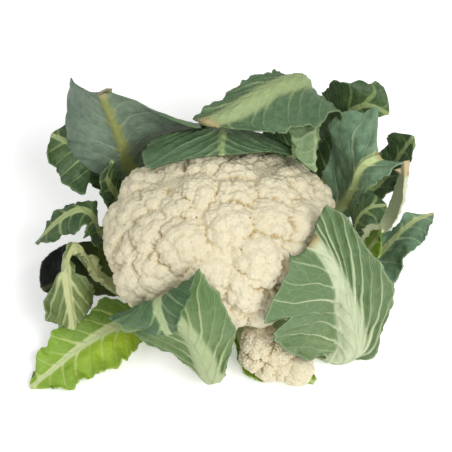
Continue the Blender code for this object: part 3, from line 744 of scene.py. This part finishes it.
def leaf_skin(name, blade, shade, vein, rib, vein_strength, tip=None, right=None, cut="#A89A6C"):
    """One face of a leaf: a two-toned waxy blade, its pale side veins and their fine net, and the midrib.

    The blade takes the colour tip towards its end and the colour right on its right half, where these are
    given. A rib that was cut through ends in the colour cut.
    """
    skin, tree, shader = new_material(name, roughness=0.5, ior=1.42)
    place = add_node(tree, "TexCoord")
    across = add_node(tree, "Attribute", attribute_name="across")
    vein_run = add_node(tree, "Attribute", attribute_name="vein_run")
    vein_width = add_node(tree, "Attribute", attribute_name="vein_width")
    rib_band = add_node(tree, "Attribute", attribute_name="rib_band")
    cut_end = add_node(tree, "Attribute", attribute_name="cut_end")

    clouds = add_node(
        tree, "TexNoise",
        {"Vector": place.outputs["Object"], "Scale": 1 / (LEAF_CLOUD_SIZE * MM), "Detail": 4.0},
    )
    crinkles = add_node(
        tree, "TexNoise",
        {"Vector": place.outputs["Object"], "Scale": 1 / (CRINKLE_SIZE * MM), "Detail": 3.0},
    )
    uneven = add_node(tree, "Math", {0: clouds.outputs["Fac"], 1: crinkles.outputs["Fac"]}, operation="ADD")
    cloud = add_node(tree, "MapRange", {"Value": uneven.outputs["Value"], "From Min": 0.72, "From Max": 1.28})
    blade_colour = add_node(
        tree, "Mix",
        {"Factor": cloud.outputs["Result"], "A": linear_colour(blade), "B": linear_colour(shade)},
        data_type="RGBA",
    )
    toward_right = add_node(
        tree, "MapRange", {"Value": across.outputs["Fac"], "From Min": -4 * MM, "From Max": 8 * MM}
    )
    halved = add_node(
        tree, "Mix",
        {"Factor": toward_right.outputs["Result"], "A": blade_colour.outputs["Result"],
         "B": linear_colour(right) if right else blade_colour.outputs["Result"]},
        data_type="RGBA",
    )
    margin = add_node(tree, "Attribute", attribute_name="margin")
    toward_margin = add_node(
        tree, "MapRange", {"Value": margin.outputs["Fac"], "From Min": 0.5, "From Max": 1.0, "To Max": 0.5}
    )
    rimmed = add_node(
        tree, "Mix",
        {"Factor": toward_margin.outputs["Result"], "A": halved.outputs["Result"], "B": linear_colour(shade)},
        data_type="RGBA",
    )
    along = add_node(tree, "Attribute", attribute_name="along")
    toward_tip = add_node(tree, "MapRange", {"Value": along.outputs["Fac"], "From Min": 0.5, "From Max": 0.8})
    turned = add_node(
        tree, "Mix",
        {"Factor": toward_tip.outputs["Result"], "A": rimmed.outputs["Result"],
         "B": linear_colour(tip) if tip else rimmed.outputs["Result"]},
        data_type="RGBA",
    )
    from_vein = add_node(tree, "Math", {0: vein_run.outputs["Fac"], 1: 0.5}, operation="PINGPONG")
    foot = add_node(tree, "Math", {0: vein_width.outputs["Fac"], 1: 1.5}, operation="MULTIPLY")
    crest = add_node(tree, "Math", {0: vein_width.outputs["Fac"], 1: 0.45}, operation="MULTIPLY")
    side_vein = add_node(
        tree, "MapRange",
        {"Value": from_vein.outputs["Value"], "From Min": foot.outputs["Value"],
         "From Max": crest.outputs["Value"]},
        interpolation_type="SMOOTHSTEP",
    )
    plan = add_node(tree, "CombineXYZ", {"X": across.outputs["Fac"], "Y": vein_run.outputs["Fac"]})
    net_plan = add_node(
        tree, "Mapping",
        {"Vector": plan.outputs["Vector"], "Scale": (1 / (NET_CELL * MM), NET_CELLS_PER_VEIN, 1)},
    )
    net_cells = add_node(
        tree, "TexVoronoi", {"Vector": net_plan.outputs["Vector"], "Scale": 1.0},
        voronoi_dimensions="2D", feature="DISTANCE_TO_EDGE",
    )
    net = add_node(
        tree, "MapRange", {"Value": net_cells.outputs["Distance"], "From Min": 0.09, "From Max": 0.0},
        interpolation_type="SMOOTHSTEP",
    )
    netted = add_node(tree, "Math", {0: net.outputs["Result"], 1: NET_STRENGTH}, operation="MULTIPLY")
    vigour = add_node(tree, "Attribute", attribute_name="vein_vigour")
    clear = add_node(tree, "Math", {0: vigour.outputs["Fac"], 1: vein_strength}, operation="MULTIPLY")
    veined = add_node(
        tree, "Math", {0: side_vein.outputs["Result"], 1: clear.outputs["Value"]}, operation="MULTIPLY"
    )
    lines = add_node(
        tree, "Math", {0: netted.outputs["Value"], 1: veined.outputs["Value"]}, operation="MAXIMUM"
    )
    with_veins = add_node(
        tree, "Mix",
        {"Factor": lines.outputs["Value"], "A": turned.outputs["Result"], "B": linear_colour(vein)},
        data_type="RGBA",
    )
    groove_plan = add_node(
        tree, "Mapping",
        {"Vector": plan.outputs["Vector"], "Scale": (1 / (GROOVE_WIDTH * MM), GROOVES_ALONG, 1)},
    )
    grooves = add_node(
        tree, "TexNoise", {"Vector": groove_plan.outputs["Vector"], "Scale": 1.0, "Detail": 2.0}
    )
    groove = add_node(
        tree, "MapRange", {"Value": grooves.outputs["Fac"], "From Min": 0.42, "From Max": 0.7, "To Max": 0.2}
    )
    rib_colour = add_node(
        tree, "Mix", {"Factor": groove.outputs["Result"], "A": linear_colour(rib), "B": linear_colour(blade)},
        data_type="RGBA",
    )
    with_rib = add_node(
        tree, "Mix",
        {"Factor": rib_band.outputs["Fac"], "A": with_veins.outputs["Result"],
         "B": rib_colour.outputs["Result"]},
        data_type="RGBA",
    )
    rim = add_node(
        tree, "MapRange",
        {"Value": margin.outputs["Fac"], "From Min": 0.955, "From Max": 0.99, "To Max": 0.25},
    )
    with_rim = add_node(
        tree, "Mix",
        {"Factor": rim.outputs["Result"], "A": with_rib.outputs["Result"], "B": linear_colour(vein)},
        data_type="RGBA",
    )
    dried = add_node(
        tree, "Math", {0: cut_end.outputs["Fac"], 1: rib_band.outputs["Fac"]}, operation="MULTIPLY"
    )
    with_cut = add_node(
        tree, "Mix",
        {"Factor": dried.outputs["Value"], "A": with_rim.outputs["Result"], "B": linear_colour(cut)},
        data_type="RGBA",
    )
    tree.links.new(with_cut.outputs["Result"], shader.inputs["Base Color"])

    puckers = add_node(tree, "Math", {0: crinkles.outputs["Fac"], 1: 2.2}, operation="MULTIPLY")
    height = add_node(tree, "Math", {0: lines.outputs["Value"], 1: puckers.outputs["Value"]}, operation="ADD")
    relief = add_node(
        tree, "Bump", {"Height": height.outputs["Value"], "Strength": 0.75, "Distance": RELIEF_HEIGHT * MM}
    )
    tree.links.new(relief.outputs["Normal"], shader.inputs["Normal"])
    return skin


# Brassica leaf: thick green flesh under a matt bloom of wax, which greys its outer face. The inner face is
# darker and greener, and the young leaf's wax is thinner.
grey_inside = leaf_skin("dark_inner_blade", "#4E6C3F", "#375633", "#93AB78", "#A6B884", 0.6)
grey_outside = leaf_skin(
    "waxed_grey_green_blade", "#7C9062", "#5C754C", "#C3CFA4", "#BFC9A4", 0.85, tip="#5C764A"
)
young_outside = leaf_skin(
    "young_grey_green_blade", "#748A56", "#557043", "#AFBE84", "#A5B284", 0.8, tip="#5F7C48"
)

grow_leaf(Leaf(
    "leaf_front_left",
    [(-7, -27, 9), (-8, -56, 8.5), (-7, -79, 13), (-9, -88, 30), (-16, -86, 58), (-27, -75, 82),
     (-38, -66, 95), (-44, -69, 103), (-45, -78, 104), (-41, -87, 96), (-37, -91, 87)],
    root=8.5, width=(47, 34), cup=[(10, 10), (35, 45), (-15, -15)], layer=4, grow=(0.24, 0.58, 0.62),
    rib=(7.5, 1.8), tip=(0.75, 0.4), tip_run=(-0.03, -0.05), wave=(3.5, 4),
    skins=(grey_inside, young_outside), band=(17, 4), veins=14, pucker=2.2, lean=(1.3, 1.6), ragged=2.5,
))
grow_leaf(Leaf(
    "leaf_front_right",
    [(22, -17, 18.5), (49, -39, 12), (79, -60, 12), (95, -66, 26), (94, -59, 48), (86, -49, 74),
     (74, -40, 96), (58, -28, 114)],
    root=8.5, width=(61, 36), cup=[(0, 0), (-35, -15), (-17, -55)], layer=4, grow=(0.22, 0.64, 0.92),
    twist=(0, -62, -47), rib=(8.0, 5.0), rib_half=(10.5, 4.0), tip=(0.8, 0.8), tip_run=(0.03, 0.06),
    wave=(3.0, 4), slant=0.3, skins=(grey_inside, grey_outside), band=(24, 7), veins=17, pucker=2.4,
    lean=(1.5, 3.0), ragged=2.5,
    notches=((-1, 1.0, 0.65, 0.1), (-1, 0.77, 0.35, 0.02)),
))


# The left leaves
# Younger leaves on the left side. Some were cut across the rib and have split and curled over since, so they
# show the inner face, and the lowest one is still soft and lime green.

# Young leaf, lime green where it grew in the shade, with painted light shining through it on its brighter
# right half and end. The slate leaf is olive, painted nearly black towards its end as painted shade. The
# olive one has started to yellow, and the green ones are sound.
# Painted light: the brighter lime of the right half and the end stands in for light shining through the thin
# leaf.
lime_inside = leaf_skin(
    "lime_inner_blade", "#6F8F2E", "#577A2A", "#BFCB78", "#C8D49A", 0.75, tip="#86A838", right="#A2C034"
)
lime_outside = leaf_skin("lime_outer_blade", "#7E9A38", "#67872A", "#B7C374", "#BAC278", 0.7, tip="#5A7C3C")
# Painted shade: the slate skins turn nearly black towards the leaf's end, where it lies deep in shadow.
painted_shade_slate_inside = leaf_skin("slate_inner_blade", "#5E6C28", "#46541F", "#565C3A", "#5F6446", 0.25, tip="#1E2127")
painted_shade_slate_outside = leaf_skin(
    "slate_outer_blade", "#4E5C26", "#3C4820", "#4C5236", "#565A42", 0.25, tip="#23262C"
)
olive_inside = leaf_skin("olive_inner_blade", "#6E7E46", "#4A5E32", "#B8C08A", "#BEC48E", 0.75)
green_inside = leaf_skin("green_inner_blade", "#4B6338", "#314B2B", "#94A96C", "#A0B076", 0.65)
green_outside = leaf_skin("green_outer_blade", "#657D53", "#496340", "#9CAE78", "#A0B078", 0.6)

grow_leaf(Leaf(
    "leaf_low_left",
    [(-20, -20, 8.5), (-48, -30, 9), (-79, -38, 14), (-105, -55, 13), (-126, -73, 9), (-142, -87, 6)],
    root=6.5, width=(22, 31), cup=[(0, 0), (60, 12), (20, 0)], layer=5, grow=(0.12, 0.46, 0.5),
    rib=(6.5, 1.6), tip=(0.25, 0.25), wave=(3.0, 7), slant=0.1, skins=(lime_inside, lime_outside),
    ragged=4,
))
grow_leaf(Leaf(
    "leaf_left_low",
    [(-28, 2, 9), (-62, 4, 9.5), (-94, 2, 14), (-112, -4, 24), (-125, -13, 33), (-133, -22, 40)],
    root=8, width=(31, 16), cup=[(5, 5), (40, 30), (60, 30)], layer=12, grow=(0.2, 0.47, 0.5),
    rib=(6.5, 1.6), tip=(0.6, 0.6), wave=(0.5, 3), slant=0.1, skins=(painted_shade_slate_inside, painted_shade_slate_outside),
))
grow_leaf(Leaf(
    "leaf_left",
    [(-27, -7, 18.5), (-60, -12, 20), (-90, -9, 36), (-101, -5, 56), (-104, -5, 69), (-109, -11, 76),
     (-114, -21, 70), (-113, -33, 54), (-111, -43, 40), (-110, -51, 30)],
    root=5.5, width=(24, 27), cup=[(0, 0), (0, 0), (-20, -20)], layer=3, grow=(0.74, 0.92, 0.96),
    rib=(6.0, 1.6), tip=(0.6, 0.6), wave=(4.5, 4), slant=0.1, skins=(olive_inside, green_outside),
    band=(8, 4), lean=(2.2, 2.2), veins=14, ragged=3, inner_rib=1.2,
))
grow_leaf(Leaf(
    "leaf_left_drooping",
    [(-28, 1, 27.5), (-60, 8, 32), (-89, 20, 50), (-95, 23, 66), (-99, 23, 76), (-106, 21, 82),
     (-117, 17, 79), (-129, 12, 69), (-140, 8, 57)],
    root=6.5, width=(9, 18), cup=[(0, 0), (0, 0), (0, -30)], layer=2, grow=(0.3, 0.55, 0.62),
    twist=(0, 10, 60), rib=(6.0, 1.4), tip=(0.35, 0.35), wave=(4.0, 4), slant=0.1,
    skins=(green_inside, green_outside), ragged=3.5,
))
grow_leaf(Leaf(
    "leaf_left_strip",
    [(-24, 15, 27.5), (-49, 34, 31), (-74, 49, 50), (-83, 51, 68), (-86, 50, 84), (-80, 53, 98)],
    root=6.5, width=(12, 13), cup=[(0, 0), (10, 10), (0, 0)], layer=2, rib=(6.0, 1.6), tip=(0.6, 0.6),
    skins=(green_inside, green_outside), ragged=2.5,
))
grow_leaf(Leaf(
    "leaf_upper_left",
    [(-25, 13, 18.5), (-54, 36, 20), (-77, 58, 36), (-86, 68, 58), (-90, 72, 73), (-101, 73, 84),
     (-114, 78, 88), (-130, 88, 86)],
    root=8, width=(28, 30), cup=[(0, 0), (0, 0), (40, 35)], layer=9, grow=(0.42, 0.78, 0.84),
    rib=(6.5, 2.2), wave=(4.0, 4), skins=(green_inside, green_outside), ragged=4,
))


# The back leaves
# Broad leaves behind the head, folded forward over it. Two were cut through the midrib, which shows as a
# thick pale stem with a dry end, and their blades hang from it.

# Leaf folded over into the light: its paler, greyer and softer green is partly a thicker bloom of wax
# and partly painted light.
pale_inside = leaf_skin("pale_inner_blade", "#6B8456", "#506B44", "#9BAD76", "#A3B07C", 0.5)
pale_outside = leaf_skin("pale_outer_blade", "#66805A", "#4C6848", "#98AB78", "#9AAB76", 0.5)
drape_inside = leaf_skin("draped_inner_blade", "#758870", "#56695A", "#93A486", "#868C4E", 0.5)
soft_outside = leaf_skin("soft_grey_green_blade", "#859C70", "#667F58", "#AFBE92", "#A3B282", 0.5)

grow_leaf(Leaf(
    "leaf_cut_stem",
    [(-14, 24, 27.5), (-32, 50, 31), (-58, 66, 50), (-69, 68, 74), (-74, 70, 96), (-81, 78, 117),
     (-88, 88, 136)],
    root=6.5, width=(68, 43), cup=[(0, 0), (20, -10), (45, -40)], layer=13, grow=(0.46, 0.72, 0.95),
    twist=(0, -20, -75), rib=(8.0, 7.0), rib_half=(9.0, 4.0), tip=(0.9, 0.9), tip_run=(-0.2, 0.05),
    wave=(4.0, 3), slant=0, skins=(drape_inside, green_outside), band=(8, 4.5), ragged=3, inner_rib=4.5,
))
grow_leaf(Leaf(
    "leaf_back",
    [(5, 28, 9), (16, 60, 11), (34, 94, 30), (49, 112, 62), (58, 116, 94), (60, 109, 122), (44, 94, 136),
     (20, 75, 140), (-12, 51, 136)],
    root=8.5, width=(42, 24), cup=[(0, 0), (20, 20), (12, 20)], layer=20, rib=(7.5, 4.5),
    rib_half=(9.7, 6.0), tip=(0.7, 0.7), tip_run=(-0.1, 0.0), skins=(pale_inside, pale_outside),
    band=(13, 11), lean=(2, 2), ragged=2.5,
))
grow_leaf(Leaf(
    "leaf_back_inner",
    [(0, 28, 27.5), (0, 56, 32), (2, 78, 56), (3, 82, 82), (3, 78, 106), (2, 64, 121.5), (0, 47, 128),
     (0, 32, 130)],
    root=6.5, width=(50, 59), cup=[(0, 0), (35, 35), (25, 25)], layer=1.5, grow=(0.3, 0.75, 0.85),
    rib=(6.0, 1.6), tip=(0.8, 0.8), tip_run=(-0.06, 0.03), wave=(1.2, 5),
    skins=(green_inside, pale_outside), veins=9, ragged=2,
))
grow_leaf(Leaf(
    "leaf_over_curd",
    [(14, 24, 27.5), (32, 52, 32), (50, 80, 56), (60, 92, 86), (64, 92, 104), (66, 80, 117), (67, 56, 119),
     (65, 30, 112)],
    root=6.5, width=(9, 34), cup=[(0, 0), (20, 20), (35, 20)], layer=2, rib=(6.0, 1.6), tip=(0.5, 0.5),
    wave=(3.0, 3), skins=(grey_inside, soft_outside), band=(6, 1.5), ragged=1.5,
))
grow_leaf(Leaf(
    "leaf_back_right",
    [(20, 19, 9), (46, 46, 11), (76, 78, 26), (90, 98, 54), (94, 103, 82), (100, 103, 98), (112, 100, 106),
     (126, 95, 102)],
    root=8.5, width=(16, 30), cup=[(0, 0), (10, 10), (-25, -25)], layer=24, rib=(7.0, 1.6), wave=(5.0, 4),
    skins=(green_inside, green_outside), ragged=4.5,
))


# The right leaves
# The leaves on the right stand open and show their dark inner faces. Two have thick pale ribs that were cut
# off short, and the smallest are ruffled and lime green.

# Bare midrib: a pale smooth rind with a dry tan end. The blue-green leaf has the most wax on its inner face.
stub_skin = leaf_skin("bare_rib_rind", "#C8CFA6", "#B3BC8E", "#D2D7B4", "#CDD3AE", 0.3, cut="#C4AF88")
blue_inside = leaf_skin("blue_green_inner_blade", "#86A380", "#557459", "#A6B88E", "#BECB8E", 0.65)

grow_leaf(Leaf(
    "leaf_right_upper",
    [(24, 14, 27.5), (52, 28, 31), (86, 40, 50), (98, 44, 78), (101, 45, 96), (106, 47, 105),
     (116, 50, 109)],
    root=6.5, width=(20, 44), cup=[(0, 0), (20, 20), (10, 10)], layer=3, grow=(0.4, 0.75, 0.8),
    rib=(6.5, 6.0), tip=(0.8, 0.8), tip_run=(0.1, 0.1), wave=(4.0, 4), slant=0.1,
    skins=(blue_inside, green_outside), band=(8, 5), ragged=3, inner_rib=3.0,
))
grow_leaf(Leaf(
    "leaf_right_ruffled",
    [(28, 0, 27.5), (58, 0, 31), (88, 0, 54), (96, 2, 78), (99, 6, 91), (107, 9, 101), (120, 11, 102)],
    root=6.5, width=(17, 17), cup=[(0, 0), (0, 0), (-30, 0)], layer=2, grow=(0.5, 0.8, 0.85),
    rib=(6.0, 1.6), tip=(0.8, 0.8), wave=(3.0, 5), skins=(green_inside, green_outside), ragged=4,
))
grow_leaf(Leaf(
    "leaf_far_right",
    [(18, 22, 18.5), (52, 45, 20), (92, 60, 32), (118, 66, 50), (129, 70, 68), (136, 73, 84),
     (143, 76, 99)],
    root=7, width=(17, 17), cup=[(0, 0), (20, 20), (10, 10)], layer=12, grow=(0.4, 0.8, 0.85),
    rib=(6.5, 1.6), tip=(0.7, 0.7), skins=(green_inside, green_outside), ragged=3,
))
grow_leaf(Leaf(
    "leaf_right_stub",
    [(26, 10, 18.5), (62, 22, 20), (100, 33, 26), (124, 39, 40), (132, 43, 60), (134, 49, 80),
     (135, 56, 95)],
    root=5.5, width=(8, 8), cup=[(0, 0), (0, 0), (0, 0)], layer=12, rib=(6.5, 5.0), rib_half=(9.0, 4.5),
    tip=(0.4, 0.4), wave=(0.0, 3), skins=(stub_skin, stub_skin), band=(30, 30),
))
grow_leaf(Leaf(
    "leaf_right_low",
    [(28, 1, 9), (64, 3, 10), (98, 6, 18), (119, 13, 35), (131, 20, 48), (145, 29, 56), (160, 36, 57)],
    root=8.5, width=(26, 10), cup=[(0, 0), (20, 20), (-40, -10)], layer=18, rib=(7.0, 1.6), tip=(0.4, 0.4),
    wave=(4.0, 4), slant=0.1, skins=(blue_inside, green_outside), ragged=3,
))
grow_leaf(Leaf(
    "leaf_right_frill",
    [(27.7, -4, 18.5), (62, -4, 21), (97, 0, 38), (112, 6, 58), (118, 10, 72)],
    root=3.5, width=(12, 12), cup=[(0, 0), (0, 0), (-20, -20)], layer=9, grow=(0.5, 0.85, 0.9),
    rib=(4.0, 1.6), wave=(1.0, 5), skins=(lime_inside, lime_outside), ragged=4,
))


# The small leaves at the foot
# Two young leaves that lie flat under the side florets.

grow_leaf(Leaf(
    "leaf_front_small",
    [(9, -26.5, 7), (16, -48, 5), (24, -66, 3.5), (34, -80, 4)],
    root=4.5, width=(9, 9), cup=[(0, 0), (5, 5), (10, 10)], layer=9, rib=(4.0, 1.2), wave=(0.5, 3),
    skins=(lime_inside, lime_outside), band=(5, 1.5), veins=8, ragged=1.5,
))
grow_leaf(Leaf(
    "leaf_front_small_right",
    [(19, -21, 7), (38, -44, 4.5), (56, -66, 3.5), (68, -82, 4)],
    root=4.5, width=(9, 9), cup=[(0, 0), (5, 5), (10, 10)], layer=9, rib=(4.0, 1.2), wave=(0.5, 3),
    skins=(lime_inside, lime_outside), band=(5, 1.5), veins=8, ragged=1.5,
))


# The stage
# A white paper floor under soft studio light, seen from in front and above.

PAPER_SIZE = 8.0
PAPER_GLOW = 0.28
STUDIO_BRIGHTNESS = 0.5

# White paper, matt, with a slight glow of its own that keeps its shadows pale.
paper, tree, shader = new_material("white_paper", roughness=0.9, ior=1.45)
shader.inputs["Base Color"].default_value = linear_colour("#FFFFFF")
shader.inputs["Emission Color"].default_value = linear_colour("#FFFFFF")
shader.inputs["Emission Strength"].default_value = PAPER_GLOW
bpy.ops.mesh.primitive_plane_add(size=PAPER_SIZE)
floor = bpy.context.object
floor.name = "paper_floor"
floor.data.materials.append(paper)
floor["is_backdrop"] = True

world = bpy.data.worlds.new("studio")
bpy.context.scene.world = world
world.use_nodes = True
world.node_tree.nodes["Background"].inputs["Color"].default_value = linear_colour("#FFFFFF")
world.node_tree.nodes["Background"].inputs["Strength"].default_value = STUDIO_BRIGHTNESS


def add_softbox(name, spot, size, power):
    """A square soft light that faces the head."""
    bpy.ops.object.light_add(type="AREA", location=spot)
    light = bpy.context.object
    light.name = name
    light.data.size = size
    light.data.energy = power
    light.rotation_euler = (Vector((0, 0, 0.07)) - Vector(spot)).to_track_quat("-Z", "Y").to_euler()


add_softbox("key_softbox", (0.8, -1.0, 1.5), 1.0, 26.0)
add_softbox("fill_softbox", (-1.2, -0.3, 1.2), 1.2, 5.0)
bpy.context.scene.view_settings.view_transform = "Standard"

CAMERA_TARGET = Vector((0.003, 0.011, 0.075))
CAMERA_DISTANCE = 1.3
CAMERA_ELEVATION = np.radians(55)
toward = Vector((0, -np.cos(CAMERA_ELEVATION), np.sin(CAMERA_ELEVATION)))
bpy.ops.object.camera_add(location=CAMERA_TARGET + toward * CAMERA_DISTANCE)
camera = bpy.context.object
camera.rotation_euler = (-toward).to_track_quat("-Z", "Y").to_euler()
camera.data.lens = 140
camera.data.sensor_width = 36
bpy.context.scene.camera = camera

sizes = {"cad": [list(corner) for corner in cad_box], "visual": [list(corner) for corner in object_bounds()]}
